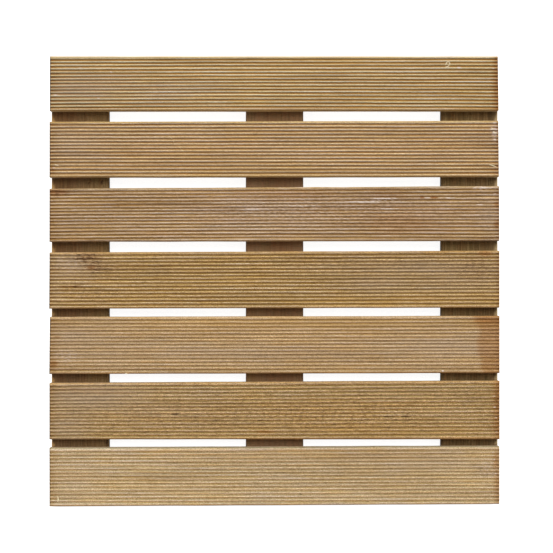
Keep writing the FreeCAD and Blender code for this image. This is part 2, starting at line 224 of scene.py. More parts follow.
MARKS["slat_3"] = {
    "silver": [(10, 74, 70, 16, 0.55), (240, 75, 14, 18, 0.6), (160, 74, 50, 12, 0.4)],
    "gold": [(60, 48, 160, 5, 0.4), (60, 72, 80, 16, 0.45), (-190, 70, 60, 22, 0.45), (200, 52, 60, 8, 0.3),
        (30, 96, 80, 7, 0.35)],
    "stain": [(-241, 99, 12, 4.5, 1.3), (163.8, 93.2, 2.2, 1.1, 1.8), (177.3, 93.2, 3.8, 1.1, 1.8),
        (140, 66, 60, 14, 0.5), (247, 85.6, 3, 3, 1.3), (247, 62.7, 3, 4, 1.3), (30, 97, 90, 7, 0.5),
        (125, 96, 34, 7, 0.6)],
    "soaked": [(163.8, 93.2, 2.2, 1.1, 1.8), (177.3, 93.2, 3.8, 1.1, 1.8)],
    "dark": [(225, 95.2, 5, 0.6, 0.7), (-200, 102, 60, 4, 0.35), (236, 73, 10, 0.6, 0.7)],
    "pale": [(122, 92, 20, 1, 0.75), (97, 88.1, 27, 1.2, 0.75), (127, 80.5, 16, 0.9, 0.65),
        (192, 92.7, 11, 0.9, 0.65), (231, 103.8, 13, 1, 0.65), (228, 85.5, 5.5, 1, 0.9),
        (28, 84, 22, 1, 0.6), (-25, 79.8, 13, 2.2, 0.6), (170.3, 92.8, 3, 0.8, 1), (-215, 80, 34, 1.6, 0.4),
        (244.5, 97.5, 1.6, 1, 0.9), (246, 48.5, 1.4, 1.2, 0.9)],
    "speckle": [(-240, 98.5, 11, 3, 0.7), (60, 76, 180, 22, 0.3)],
    "glint": [(113, 89, 26, 3, 0.6), (30, 80, 120, 20, 0.3), (231, 103.5, 14, 2.5, 0.8),
        (-200, 68, 50, 10, 0.2)],
    "tone": [(-205, 74, 50, 14, -0.6), (150, 74, 50, 12, 1), (40, 74, 70, 12, 0.7), (120, 94, 90, 7, -0.3),
        (-120, 54, 30, 10, 0.5), (-175, 54, 20, 8, -0.3), (235, 54, 20, 10, -0.5), (128, 97, 28, 6, -0.35)],
}
MARKS["slat_4"] = {
    "silver": [(-230, 18, 36, 18, 0.6), (-245, -5, 8, 26, 0.5), (165, 14, 90, 9, 0.7), (119, -2, 34, 9, 0.8),
        (195, -2, 60, 10, 0.5)],
    "gold": [(100, -22, 160, 8, 0.9), (-60, 2, 90, 9, 0.5), (-120, -18, 90, 9, 0.4), (25, -20, 40, 8, 0.3),
        (125, 2, 40, 9, 0.3)],
    "stain": [(-203.5, 15.6, 5, 3, 1.2), (-222, -5.6, 7, 1.2, 1.3), (-234.4, -5.6, 3, 1.2, 1.1),
        (-205, 27, 18, 5, 0.5), (234, 31, 8, 3, 1.4)],
    "dark": [(-217, 29.2, 2.6, 0.7, 1), (-199.3, 29.4, 1.8, 0.8, 1.1), (-215.5, 25.8, 3.8, 0.7, 1.1),
        (-204, 25.8, 4.4, 0.7, 1.1), (-206, 27.4, 1.6, 0.6, 0.8), (-212, 21.8, 2.8, 0.6, 0.8),
        (-198, 21.8, 5.5, 0.6, 0.85), (-210, 17.7, 11, 0.5, 0.7), (-204, 15.8, 1.3, 1.1, 0.8),
        (-188, 13.6, 7, 0.6, 0.9), (-198, 9.6, 8, 0.6, 0.9), (-197, 5.6, 3, 0.6, 0.65),
        (-172.5, 5.4, 2.8, 0.6, 0.65), (-221.5, -5.8, 4, 0.6, 0.8), (-224, -9.6, 3, 0.6, 0.6),
        (-208, -9.7, 7, 0.5, 0.55), (-178, -13.7, 8, 0.5, 0.75), (-138, -13.7, 3, 0.6, 0.7),
        (-130, 9, 20, 3, 0.4), (218, 17.5, 8, 0.6, 0.7)],
    "speckle": [(-210, 26, 18, 6, 0.85), (-196, 16, 20, 10, 0.7), (-222, -6, 22, 5, 0.45),
        (-205, -13, 34, 7, 0.4), (140, 20, 110, 10, 0.35), (225, 14, 30, 16, 0.5)],
    "glint": [(-232, 20, 26, 12, 0.3)],
    "tone": [(-225, 10, 50, 30, 0.4), (150, 2, 50, 10, -0.2), (0, -19, 60, 10, -0.3), (-178, 25, 22, 8, 0.3),
        (0, 22, 110, 11, 0.3), (-20, 0, 60, 9, 0.35), (-170, -18, 70, 9, 0.4), (150, -19, 50, 10, 0.3)],
}
MARKS["slat_5"] = {
    "silver": [(190, -72, 60, 12, 0.8), (-90, -78, 180, 10, 0.5), (-225, -64, 40, 16, 0.6)],
    "gold": [(20, -46, 190, 8, 0.9), (60, -96, 90, 6, 0.3), (160, -48, 60, 9, 0.35)],
    "stain": [(240, -43, 24, 4, 0.7), (130, -103, 160, 2.2, 1), (-245, -92, 5, 4, 1.2),
        (-241, -62, 5, 2, 0.7)],
    "soaked": [(252, -40, 30.5, 24, 1), (252, -70, 27.5, 30, 1), (252, -92, 23, 24, 1)],
    "pale": [(-240, -98.6, 5, 0.9, 0.9), (187, -99.4, 1.5, 1, 1)],
    "glint": [(-232, -84, 14, 6, 0.6)],
    "tone": [(20, -55, 80, 15, 0.35), (-85, -48, 35, 9, 0.3), (60, -70, 60, 10, 0.4),
        (215, -60, 40, 25, -0.3), (-220, -80, 40, 20, -0.2)],
}
MARKS["slat_6"] = {
    "silver": [(-205, -128, 60, 16, 1), (-235, -160, 30, 18, 0.7), (-140, -143, 50, 10, 0.4)],
    "gold": [(90, -165, 130, 8, 0.7), (60, -142, 60, 10, 0.4)],
    "stain": [(-10, -167, 11, 1.6, 1.2), (249, -140, 7, 60, 1.1), (60, -176.5, 230, 2.2, 1),
        (-215, -121, 70, 9, 0.35)],
    "dark": [(-160.5, -152, 1.6, 1, 1), (-110, -147.5, 5, 1.8, 0.8), (-66, -154.4, 4, 1, 0.7),
        (-15, -154.4, 5, 1, 0.9), (-86, -167, 4, 1, 0.6), (95, -138.3, 7, 0.8, 0.9),
        (74, -142.7, 4, 0.8, 0.8), (54, -144, 3, 0.8, 0.7), (126, -150, 7, 0.9, 1), (146, -150, 6, 0.9, 1),
        (183, -149.4, 3, 0.8, 0.8), (89, -154.4, 3, 0.8, 0.7), (75, -161.6, 3, 0.8, 0.7),
        (127, -162.7, 5, 0.8, 0.8), (155, -161.2, 3, 0.8, 0.7), (66, -158.2, 4, 0.8, 0.7)],
    "pale": [(-81, -123.8, 3.2, 1.2, 1), (-163.5, -151.2, 1.4, 0.8, 1), (244, -127, 2, 0.9, 1),
        (244.6, -139.2, 1.6, 0.9, 1.2), (246.6, -166.8, 1.6, 0.9, 0.9), (246, -151, 1.6, 0.8, 0.8)],
    "speckle": [(80, -150, 120, 24, 0.5), (-80, -148, 120, 22, 0.35)],
    "tone": [(0, -121, 250, 9, -0.4), (-225, -121, 30, 12, -0.4), (-140, -143, 70, 10, 0.65),
        (70, -143, 80, 11, 1), (90, -163, 60, 10, 0.8), (235, -143, 20, 30, -0.4),
        (-235, -165, 20, 15, -0.4), (-215, -143, 55, 40, -0.3)],
}
MARKS["slat_7"] = {
    "silver": [(-235, -215, 40, 36, 0.25), (150, -203, 110, 12, 0.5)],
    "gold": [(-110, -226, 120, 12, 0.4), (130, -212, 150, 30, 0.45), (30, -238, 60, 9, 0.25)],
    "stain": [(150, -250, 200, 2.5, 0.9), (-100, -251, 200, 2, 0.8), (246, -200, 4, 14, 0.9),
        (247, -225, 4, 25, 0.7), (238, -212, 10, 4, 0.35), (0, -192, 320, 12, 0.35),
        (-225, -216, 60, 12, 0.3)],
    "dark": [(-175, -217, 10, 1.2, 0.6), (174, -215.6, 5, 0.8, 0.7), (29, -236, 1.8, 0.9, 0.9),
        (229, -209.5, 3, 0.6, 0.5)],
    "pale": [(242.5, -191, 1.4, 3.4, 0.55), (244, -197, 1.4, 2.4, 0.6), (245.4, -213.5, 1.2, 1, 0.6),
        (245, -227, 1.3, 1, 0.6), (245, -236, 1.4, 1, 0.6), (231, -207.5, 3, 0.8, 0.6)],
    "speckle": [(232, -210, 16, 9, 0.35), (60, -218, 150, 24, 0.2)],
    "glint": [(238, -208, 12, 9, 0.45)],
    "tone": [(150, -200, 120, 14, -0.3), (-225, -200, 50, 14, -0.25), (-90, -235, 50, 10, 0.3)],
}
MARKS["batten_left"] = {
    "gold": [(-200, 0, 16, 300, 0.3)],
    "stain": [(-245, 110, 30, 300, 0.7)],
    "dark": [(-208.2, 108.4, 0.9, 1.5, 1.1), (-196.6, 107.7, 1.2, 1.1, 1.1), (-192.8, 110.4, 0.9, 2.4, 1.1),
        # The last dark mark is painted shade on the inner edge between slats 6 and 7
        (-232, 110, 0.5, 4, 0.9), (-206, 112, 0.5, 3, 0.8), (-187, -179, 1, 8, 1)],
}
MARKS["batten_middle"] = {
    "gold": [(-26, -110, 10, 80, 0.4)],
    "stain": [(6, 60, 26, 300, 0.5)],
}
MARKS["batten_right"] = {
    "gold": [(205, 0, 40, 300, 0.3)],
    "stain": [(198, 182, 5, 10, 0.7)],
    # Painted shade on the inner edge between slats 6 and 7
    "dark": [(187.4, -179, 1, 8, 1)],
}

# How sharply each kind of mark ends
MARK_EDGES = {"silver": 1.0, "gold": 1.0, "stain": 1.0, "soaked": 4.0, "dark": 1.5, "pale": 1.5,
              "speckle": 1.5, "glint": 1.5, "tone": 1.0}

# Loose fibres on the reeds: the places of their two ends, how far they curl aside and how wide they are
FIBRES = (
    (189.8, 240.2, 192.4, 243.8, 0.3, 1), (192.2, 243.9, 194.8, 240, 1.1, 1),
    (195, 240.6, 189.6, 237.4, 0.5, 1), (-118, 161.2, -113.6, 158.4, 0.2, 0.6),
    (-112.4, 154.4, -110.6, 157.2, -0.2, 0.6), (-105.8, 149.2, -104.2, 147.2, 0.1, 0.6),
    (-103.6, 146.4, -100.6, 144.4, -0.2, 0.6), (-240.5, -238.6, -240.2, -244.4, 0.5, 1.3),
    (-243.4, 130, -239.6, 127.8, 0.2, 0.8), (-165.8, -102, -162.6, -102.6, 0.2, 0.8),
    (240.4, 170.8, 243, 167.8, 0.3, 0.9), (243, 166.6, 246.6, 164, -0.3, 0.9),
    (238.6, 129.4, 246.4, 126.8, 0.3, 0.9),
)

# The battens from left to right: how far to the right their left and right edges lie from the solids', their
# light and dark colours, how plain their lines are, where they turn to olive, and the colour of the painted
# light on their edges
BATTEN_LOOKS = {
    "edges": ((0.6, 0.7), (0, 0.4), (0.6, 0)),
    "light": ((138, 111, 79), (148, 118, 88), (130, 104, 75)),
    "dark": ((114, 87, 59), (126, 96, 70), (106, 82, 56)),
    "lines": (0.95, 0.5, 1.2),
    "olive": ((-216, -180), (40, 60), (180, 190)),
    "worn_and_lit": ((202, 162, 104), (202, 162, 104), (188, 164, 124)),
}

# A batten's edges move only outside this distance from its middle, and fully this much further out
EDGE_START = 20
EDGE_REACH = 8

# How far a batten's ends lie inside the outer slats
BATTEN_INSET = 0.3

# A strip of painted light at the tile's left and right edge, a wedge that widens across each gap: how wide it
# is at the farther slat, how much wider it is at the nearer one and how softly it ends. Along a batten's own
# edges it shows at most half, as a painted highlight.
LIT_STRIP = 0.8
LIT_SLANT = 4.5
LIT_REACH = 1.5
LIT_EDGE_MOST = 0.5

# A seat's walls stand upright between two points this far apart. A point this near to it counts as in it,
# and a point this near to a batten's side as on it.
SEAT_WALL = 0.03
SEAT_SLACK = 0.01
EDGE_SLACK = 0.1


def box(node):
    """A CAD node's lowest and highest corner in millimetres."""
    low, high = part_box(node)
    return low / MM, high / MM


def by_board(names, looks):
    """Each board's own look, out of rows that hold a value for every board."""
    return {name: {key: row[place] for key, row in looks.items()} for place, name in enumerate(names)}


SLATS = by_board(["slat_%d" % number for number in range(1, 8)], SLAT_LOOKS)
BATTENS = by_board(["batten_left", "batten_middle", "batten_right"], BATTEN_LOOKS)
TILE_HALF = box("slat_1")[1].x
TILE_TOP = box("slat_1")[1].z
SLAT_BOTTOM = box("slat_1")[0].z
TILE_FAR = cad_box[1][1] / MM
TILE_NEAR = cad_box[0][1] / MM


# Smooth random shapes

# How many random values a line has, and a surface each way, before they come again
LINE_CELLS = 2048
SURFACE_CELLS = 256


def smooth(share):
    return share * share * (3 - 2 * share)


def wander(along, step, seed):
    """A smooth random line from -1 to 1, with its bends about a step apart."""
    lattice = np.random.default_rng(seed).uniform(-1, 1, LINE_CELLS)
    place = along / step + LINE_CELLS / 2
    cell = np.floor(place).astype(int)
    share = smooth(place - cell)
    return lattice[cell % LINE_CELLS] * (1 - share) + lattice[(cell + 1) % LINE_CELLS] * share


def sway(along, bend, seed):
    """A smooth random line of a bend, given by how far it goes and how long it is."""
    far, long = bend
    return far * wander(along, long, seed)


def ripple(along, across, wear, seed):
    """A smooth random surface of a wear, given by how far it goes, how long and how wide it is."""
    far, long, wide = wear
    lattice = np.random.default_rng(seed).uniform(-1, 1, (SURFACE_CELLS, SURFACE_CELLS))
    u, v = along / long + SURFACE_CELLS / 2, across / wide + SURFACE_CELLS / 2
    i, j = np.floor(u).astype(int), np.floor(v).astype(int)
    s, t = smooth(u - i), smooth(v - j)
    i, j, k, m = (cell % SURFACE_CELLS for cell in (i, j, i + 1, j + 1))
    low = lattice[i, j] * (1 - s) + lattice[k, j] * s
    high = lattice[i, m] * (1 - s) + lattice[k, m] * s
    return far * (low * (1 - t) + high * t)


# Meshes

def new_object(name, data):
    """A mesh, a lamp or a camera, put into the scene."""
    made = bpy.data.objects.new(name, data)
    bpy.context.scene.collection.objects.link(made)
    return made


def new_piece(name, mesh, material, replaces=()):
    """A mesh as a piece of the tile: it rides on the tile's one body and stands for the nodes it replaces."""
    piece = new_object(name, mesh)
    mesh.materials.append(material)
    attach(piece, "root")
    if replaces:
        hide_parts(*replaces)


def tube_faces(rings, count, start=0):
    """Quads between rings of count points each, and one flat face at either end."""
    faces = []
    for ring in range(rings - 1):
        low = start + ring * count
        for point in range(count):
            after = (point + 1) % count
            faces.append((low + point, low + after, low + count + after, low + count + point))
    faces.append(tuple(range(start + count - 1, start - 1, -1)))
    last = start + (rings - 1) * count
    faces.append(tuple(range(last, last + count)))
    return faces


def make_mesh(name, points, faces, sharp_angle, fields=None):
    """A mesh in metres, smooth but for edges sharper than an angle, with named numbers kept at its points."""
    mesh = bpy.data.meshes.new(name)
    mesh.from_pydata((np.asarray(points) * MM).tolist(), [], faces)
    work = bmesh.new()
    work.from_mesh(mesh)
    bmesh.ops.recalc_face_normals(work, faces=work.faces)
    work.to_mesh(mesh)
    work.free()
    mesh.shade_smooth()
    mesh.set_sharp_from_angle(angle=math.radians(sharp_angle))
    for field, values in (fields or {}).items():
        layer = mesh.attributes.new(field, "FLOAT", "POINT")
        layer.data.foreach_set("value", np.asarray(values, np.float32).ravel())
    return mesh


def make_board(name, points, fields, sharp_angle, material):
    """A slat or a batten out of its points, ring by ring along it."""
    rings, count = points.shape[:2]
    mesh = make_mesh(name + "_wood", points.reshape(-1, 3), tube_faces(rings, count), sharp_angle, fields)
    new_piece(name + "_board", mesh, material, [name])


def rounded(distance, radius):
    """How far a rounded edge has dropped at a distance in from the edge."""
    inside = np.clip(radius - distance, 0, radius)
    return radius - np.sqrt(radius ** 2 - inside ** 2)


def rounded_corner(radius, count):
    """Points on a rounded edge from its upright side to its flat one, by their distances from both."""
    return [(radius * (1 - math.cos(angle)), radius * (1 - math.sin(angle)))
            for angle in np.linspace(0, math.pi / 2, count)]


# Slats

# The points across a groove, in halves of its mouth, and how far each leans to the lamp. The points across
# the margin outside the outer grooves, as shares of it, and those along a board's end.
GROOVE_STEPS = (-1.0, -0.8, -0.56, -1 / 3, 1 / 3, 0.56, 0.8, 1.0)
GROOVE_LEANS = (-0.75, -0.65, -0.4, 0.0, 0.85, 0.8, 0.4, 0.0)
MARGIN_STEPS = (0.0, 0.03, 0.1, 0.22, 0.4, 0.62, 0.82)
END_STEPS = (0.0, 0.12, 0.3, 0.55, 0.85, 1.2, 1.7, 2.4, 3.2, 4.2)

# How many points a slat has up its side, across its underside and round its lower edges
SIDE_POINTS = 4
UNDER_POINTS = 9
SLAT_CORNER_POINTS = 4


def stations(low, high, step):
    """Places along a board: close together at its ends, then about a step apart."""
    reach = END_STEPS[-1]
    inner = np.linspace(low + reach, high - reach, int((high - low) / step))
    return np.concatenate([low + np.array(END_STEPS[:-1]), inner, high - np.array(END_STEPS[-2::-1])])


def groove_depth(share):
    """Depth of a groove, share going from 0 at its middle to 1 at its mouth: flat floor, rounded sides."""
    floor = GROOVE_FLOOR / GROOVE_MOUTH
    rise = np.clip((np.abs(share) - floor) / (1 - floor), 0, 1)
    return GROOVE_DEPTH * (1 - np.sin(rise * math.pi / 2)) + REED_CROWN * (np.abs(share) >= 1)


def bowed(share, left, right, more=0.0):
    """A size from its left to its right value along a board, and more by some in the middle."""
    return left + (right - left) * share + more * 4 * share * (1 - share)


def mark_fields(name, x, y):
    """How strongly each kind of mark shows at each point of a board."""
    fields = {}
    for kind, edge in MARK_EDGES.items():
        field = np.zeros_like(x)
        for mark_x, mark_y, half_long, half_wide, strength in MARKS[name].get(kind, ()):
            reach = ((x - mark_x) / half_long) ** 2 + ((y - mark_y) / half_wide) ** 2
            mark = strength * np.exp(-reach ** edge)
            field = field + mark if kind == "tone" else np.maximum(field, mark)
        fields[kind] = field
    return fields


def slat_rows(along, share, seed, look, far, near):
    """The rows of points across the top: place, depth in a groove, lean to the lamp, and far or near rim for
    painted shade.
    """
    first = bowed(share, *look["far"]) - bowed(share, *look["far_margin"])
    last = bowed(share, *look["near"]) + bowed(share, *look["near_margin"])
    pitch = (first - last) / (REED_COUNT - 1)
    half_mouth = GROOVE_MOUTH / 2 * pitch / REED_PITCH
    together = sway(along, LONG_SWAY, seed) + sway(along, SHORT_SWAY, seed + 1)
    middles = []
    for groove, error in enumerate(CUTTER_ERRORS):
        own = wander(along, GROOVE_BEND, seed + 10 + groove) + sway(along, GROOVE_TURN, seed + 40 + groove)
        rough = wander(along, GROOVE_RAG, seed + 90 + groove)
        even = first - groove * pitch + together
        middles.append(even + error + look["wave"] * own + look["ragged"] * rough)

    rows = []
    for step in MARGIN_STEPS:
        rim = max(0, 1 - step / look["far_reach"])
        rows.append((far - step * (far - first - half_mouth), 0, 0, rim))
    for groove, middle in enumerate(middles):
        if groove:
            rows.append(((middle + middles[groove - 1]) / 2, 0, CREST_LEAN, 0))
        worn_and_lit = 1 + sway(along, DEPTH_SWAY, seed + 70 + groove)
        for step, lean in zip(GROOVE_STEPS, GROOVE_LEANS):
            rows.append((middle - step * half_mouth, groove_depth(step) * worn_and_lit, lean, 0))
    for step in reversed(MARGIN_STEPS):
        rim = min(0, step / NEAR_REACH - 1)
        rows.append((near + step * (last - near - half_mouth), 0, 0, rim))
    return [np.array([np.broadcast_to(row[part], along.shape) for row in rows]) for part in range(4)]


def slat_points(number, look):
    """The slat's points, ring by ring along it, how deep in a groove each lies, its lean and its rims."""
    along = stations(np.mean(look["left_end"]), np.mean(look["right_end"]), SLAT_STEP)
    share = (along + TILE_HALF) / (2 * TILE_HALF)
    seed = 100 * number
    far = np.minimum(bowed(share, *look["far"]) + sway(along, EDGE_SWAY, seed + 2), TILE_FAR)
    near = np.maximum(bowed(share, *look["near"]) + sway(along, EDGE_SWAY, seed + 3), TILE_NEAR)
    across, depth, lean, rim = slat_rows(along, share, seed, look, far, near)
    across = np.clip(across, near, far)

    ease = 1 + ripple(along, across, END_WEAR, seed + 5)
    crest_wear = CREST_WEAR[0] + ripple(along, across, CREST_WEAR, seed + 4)
    end = np.minimum(along - along[0], along[-1] - along)
    drop = np.maximum(depth, rounded(far - across, SLAT_ARRIS))
    drop = np.maximum(drop, rounded(across - near, SLAT_ARRIS))
    drop = np.maximum(drop + crest_wear * (depth < CREST_WEAR_DEPTH), rounded(end, END_BEVEL) * ease)

    corner = rounded_corner(SLAT_ARRIS, SLAT_CORNER_POINTS)
    side = np.linspace(TILE_TOP - SLAT_ARRIS, SLAT_BOTTOM + SLAT_ARRIS, SIDE_POINTS)[1:-1]
    under = [(near, up) for up in side]
    under += [(near + inward, SLAT_BOTTOM + up) for inward, up in corner]
    under += [(near + SLAT_ARRIS + place * (far - near - 2 * SLAT_ARRIS), SLAT_BOTTOM)
              for place in np.linspace(0, 1, UNDER_POINTS)[1:-1]]
    under += [(far - inward, SLAT_BOTTOM + up) for inward, up in reversed(corner)]
    under += [(far, up) for up in side[::-1]]

    y = np.vstack([across, [place for place, _ in under]]).T
    z = np.vstack([TILE_TOP - drop, [np.full_like(along, up) for _, up in under]]).T
    reach = ((along - along[0]) / (along[-1] - along[0]))[:, None]
    beside = (y - near[:, None]) / (far - near)[:, None]
    left, right = (bowed(beside, *look[end][::-1]) for end in ("left_end", "right_end"))
    x = left + (right - left) * reach
    nothing = np.zeros((len(under), len(along)))
    groove, lean, rim = (np.vstack([field, nothing]).T for field in (depth / GROOVE_DEPTH, lean, rim))
    return np.stack([x, y, z], axis=2), groove, lean, rim


def make_slat(number, name, look):
    points, groove, lean, rim = slat_points(number, look)
    x, y, z = (points[:, :, axis] for axis in range(3))
    from_left, from_right = x - x[0], x[-1] - x
    on_top = z > SLAT_BOTTOM + SLAT_ARRIS
    fields = {"groove": groove, "lean": lean, "rim": rim, "top": np.where(on_top, 1.0, 0.0)}
    for kind, (left_reach, left_most, right_reach, right_most, on_crest) in SLAT_ENDS.items():
        at_left = left_most * np.exp(-(from_left / left_reach) ** 2)
        at_right = right_most * np.exp(-(from_right / right_reach) ** 2)
        fields[kind] = (at_left + at_right) * (on_crest + (1 - on_crest) * groove)
    for kind, strength in mark_fields(name, x, y).items():
        fields[kind] = np.where(on_top, strength, 0)
    fields["sawn"] = np.zeros_like(x)
    fields["sawn"][[0, -1]] = 1
    make_board(name, points, fields, SLAT_SHARP, slat_wood(name, number, look))


def make_fibres():
    """Thin pale fibres torn from the reeds, lying across their tops. A place is x + y j."""
    points, faces = [], []
    for start_x, start_y, end_x, end_y, curl, width in FIBRES:
        start, end = complex(start_x, start_y), complex(end_x, end_y)
        aside = 1j * (end - start) / abs(end - start)
        faces += tube_faces(FIBRE_STEPS + 1, FIBRE_SIDES, len(points))
        for share in np.linspace(0, 1, FIBRE_STEPS + 1):
            middle = start + share * (end - start) + bowed(share, 0, 0, curl) * aside
            taper = 0.5 + 0.5 * math.sin(math.pi * share) ** 0.5
            for side in range(FIBRE_SIDES):
                angle = 2 * math.pi * side / FIBRE_SIDES
                place = middle + width / 2 * taper * math.cos(angle) * aside
                up = FIBRE_THICKNESS / 2 * (math.sin(angle) - 1)
                points.append((place.real, place.imag, TILE_TOP + up))
    mesh = make_mesh("loose_fibres", points, faces, FIBRE_SHARP)
    new_piece("loose_fibres", mesh, fibre_wood())


# Battens

# How many points a batten has across its top and round each of its edges
BATTEN_TOP_POINTS = 25
BATTEN_CORNER_POINTS = 5


def seat_steps(middles, half):
    """Two places at each side of every seat, close together, so that its walls stand upright."""
    return [middle + side * (half + gap) for middle in middles for side in (-1, 1) for gap in (0, SEAT_WALL)]


def staple_places(batten, slat):
    """The middles of the two staples where a slat crosses a batten, set corner to corner."""
    batten_low, batten_high = box(batten)
    slat_low, slat_high = box(slat)
    x, y = (batten_low.x + batten_high.x) / 2, (slat_low.y + slat_high.y) / 2
    return [(x + side * STAPLE_ASIDE, y + side * STAPLE_APART) for side in (-1, 1)]


def batten_section(low, high, seat_half):
    """The points round a batten's section, x counted from its middle."""
    half = (high.x - low.x) / 2
    flat = half - BATTEN_ARRIS
    top = np.linspace(-flat, flat, BATTEN_TOP_POINTS)
    underside = np.unique(np.concatenate([top, seat_steps([-STAPLE_ASIDE, STAPLE_ASIDE], seat_half)]))
    corner = rounded_corner(BATTEN_ARRIS, BATTEN_CORNER_POINTS)
    section = [(place, low.z) for place in underside[::-1]]
    section += [(inward - half, low.z + up) for inward, up in corner[-2::-1]]
    section.append((-half, (low.z + high.z) / 2))
    section += [(inward - half, high.z - up) for inward, up in corner]
    section += [(place, high.z) for place in top[1:-1]]
    section += [(half - inward, high.z - up) for inward, up in reversed(corner)]
    section.append((half, (low.z + high.z) / 2))
    section += [(half - inward, low.z + up) for inward, up in corner[:-1]]
    return np.array(section).T


def batten_points(name):
    """The batten's points, ring by ring along it. The staples' seats are pressed into its underside."""
    low, high = box(name)
    middle = (low.x + high.x) / 2
    share = (middle + TILE_HALF) / (2 * TILE_HALF)
    far_end = bowed(share, *SLATS["slat_1"]["far"]) - BATTEN_INSET
    near_end = bowed(share, *SLATS["slat_7"]["near"]) + BATTEN_INSET
    seats = [place for slat in SLATS for place in staple_places(name, slat)]
    half_long = STAPLE_CROWN / 2 + SLOT_CLEARANCE
    half_wide = WIRE_WIDTH / 2 + SLOT_CLEARANCE
    along = stations(near_end, far_end, BATTEN_STEP)
    along = np.unique(np.concatenate([along, seat_steps([y for _, y in seats], half_wide)]))

    x, z = batten_section(low, high, half_long)
    outer = np.clip((np.abs(x) - EDGE_START) / EDGE_REACH, 0, 1)
    points = np.empty((len(along), len(x), 3))
    points[:, :, 0] = middle + x + outer * np.where(x < 0, *BATTENS[name]["edges"])
    points[:, :, 1] = along[:, None]
    points[:, :, 2] = z
    for seat_x, seat_y in seats:
        inside_x = np.abs(points[:, :, 0] - seat_x) < half_long + SEAT_SLACK
        inside_y = np.abs(points[:, :, 1] - seat_y) < half_wide + SEAT_SLACK
        seat = inside_x & inside_y & (z == low.z)
        points[:, :, 2] += np.where(seat, STAPLE_SINK + WIRE_THICKNESS + SLOT_CLEARANCE, 0)
    return points


def across_gap(x, y):
    """How far a place lies across its gap, from 0 at the farther slat to 1 at the nearer one."""
    share = (x + TILE_HALF) / (2 * TILE_HALF)
    across = np.zeros_like(y)
    looks = list(SLATS.values())
    for upper, lower in zip(looks[:-1], looks[1:]):
        start, end = bowed(share, *upper["near"]), bowed(share, *lower["far"])
        across = np.where((y < start) & (y > end), (start - y) / (start - end), across)
    return across


def make_batten(name, number):
    points = batten_points(name)
    low, high = box(name)
    x, y, z = (points[:, :, axis] for axis in range(3))
    left_shift, right_shift = BATTENS[name]["edges"]
    inward = np.minimum(x - low.x - left_shift, high.x + right_shift - x)
    from_end = np.minimum(x + TILE_HALF, TILE_HALF - x)
    # Painted light: a wedge at the tile's ends across each gap, and a highlight along the batten's edges, on
    # its top half
    worn_and_lit = np.clip((LIT_STRIP + LIT_SLANT * across_gap(x, y) - from_end) / LIT_REACH, 0, 1)
    worn_and_lit = np.maximum(worn_and_lit, np.clip(LIT_STRIP - inward, 0, LIT_EDGE_MOST))
    fields = mark_fields(name, x, y)
    fields["worn_and_lit"] = np.where(z > (low.z + high.z) / 2 + EDGE_SLACK, worn_and_lit, 0)
    # Where shade is painted: the side faces and the underside
    fields["side"] = np.where((inward < EDGE_SLACK) | (z < high.z - BATTEN_ARRIS), 1.0, 0.0)
    make_board(name, points, fields, BATTEN_SHARP, batten_wood(name, number))


# Staples

WIRE_BEND_POINTS = 5


def staple_path():
    """The middle line of a staple's wire from tip to tip, and the outward direction at each point."""
    half = (STAPLE_CROWN - WIRE_THICKNESS) / 2
    low = STAPLE_SINK + WIRE_THICKNESS / 2
    path = [((-half, STAPLE_TIP), (-1, 0)), ((-half, STAPLE_TIP - STAPLE_POINT - TIP_GAP), (-1, 0))]
    for angle in np.linspace(0, math.pi / 2, WIRE_BEND_POINTS):
        out = (-math.cos(angle), -math.sin(angle))
        path.append(((-half + WIRE_BEND + WIRE_BEND * out[0], low + WIRE_BEND + WIRE_BEND * out[1]), out))
    right = [((-x, z), (-out_x, out_z)) for (x, z), (out_x, out_z) in reversed(path)]
    return path + right


def make_staples():
    """Every staple in its place in one piece: rounded wire, bent legs and slanted tips."""
    thick, wide = WIRE_THICKNESS / 2, WIRE_WIDTH / 2
    section = [(thick, wide - WIRE_EDGE), (thick - WIRE_EDGE, wide)]
    section += [(-out, wing) for out, wing in reversed(section)]
    section += [(out, -wing) for out, wing in reversed(section)]
    path = staple_path()
    points, faces = [], []
    for x, y in [place for batten in BATTENS for slat in SLATS for place in staple_places(batten, slat)]:
        faces += tube_faces(len(path), len(section), len(points))
        for number, ((across, up), (out_x, out_z)) in enumerate(path):
            tip = number in (0, len(path) - 1)
            for out, wing in section:
                cut = STAPLE_POINT * (out + thick) / WIRE_THICKNESS if tip else 0
                points.append((x + across + out * out_x, y + wing, up + out * out_z - cut))
    mesh = make_mesh("staple_wires", points, faces, WIRE_SHARP)
    new_piece("staple_wires", mesh, staple_metal(), ["staples"])


# Materials

# The wave texture's scale for rings one unit apart, and the usual range of a noise's values
RING_SCALE = 0.314
NOISE_LOW = 0.3
NOISE_HIGH = 0.7


def paint(red, green, blue):
    """A colour given as it shows on screen, from 0 to 255, as the shader takes it."""
    shown = [c / 255 for c in (red, green, blue)]
    return (*[c / 12.92 if c < 0.0404 else ((c + 0.055) / 1.055) ** 2.4 for c in shown], 1.0)


